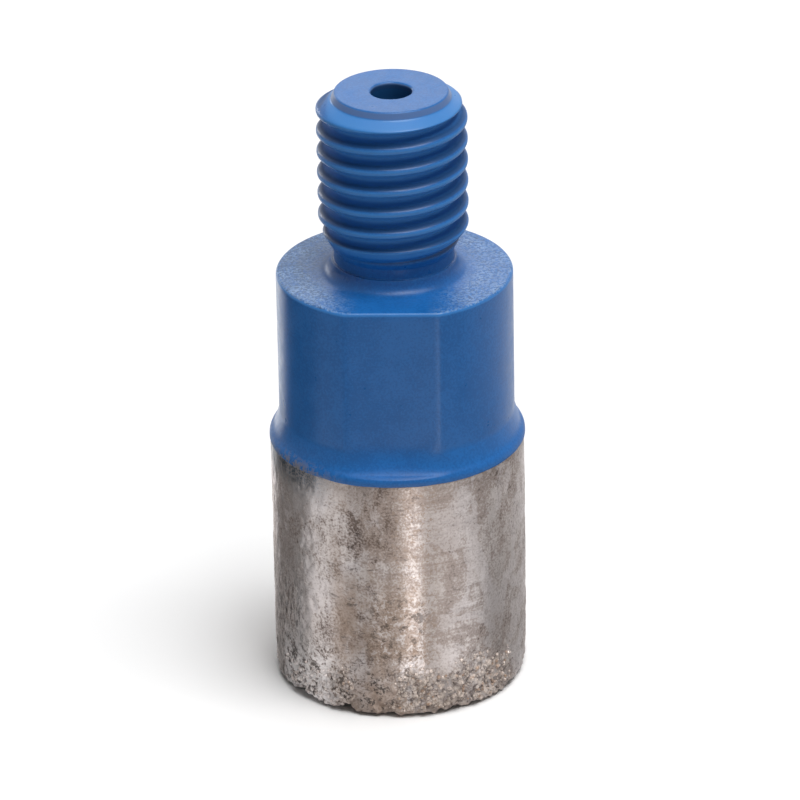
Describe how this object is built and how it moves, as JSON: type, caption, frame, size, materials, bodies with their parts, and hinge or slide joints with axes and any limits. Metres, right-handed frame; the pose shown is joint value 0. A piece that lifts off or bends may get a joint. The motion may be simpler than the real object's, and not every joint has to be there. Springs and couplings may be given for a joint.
{
  "type": "diamond finger bit",
  "caption": "Diamond finger bit for milling stone: a sintered diamond sleeve on a painted steel shank, with wrench flats, a water passage and a threaded stud.",
  "frame": {"origin": "centre of the working end, on the axis, where the bit stands", "axes": "+Z along the axis to the threaded stud; the wrench flats face -Y (front) and +Y"},
  "size_m": [0.02, 0.02, 0.0494],
  "materials": {
    "diamond_sinter": "worn, grainy",
    "blue_paint": "satin"
  },
  "bodies": {
    "root": {"diamond_sleeve": "diamond_sinter", "threaded_shank": "blue_paint"}
  },
  "joints": []
}
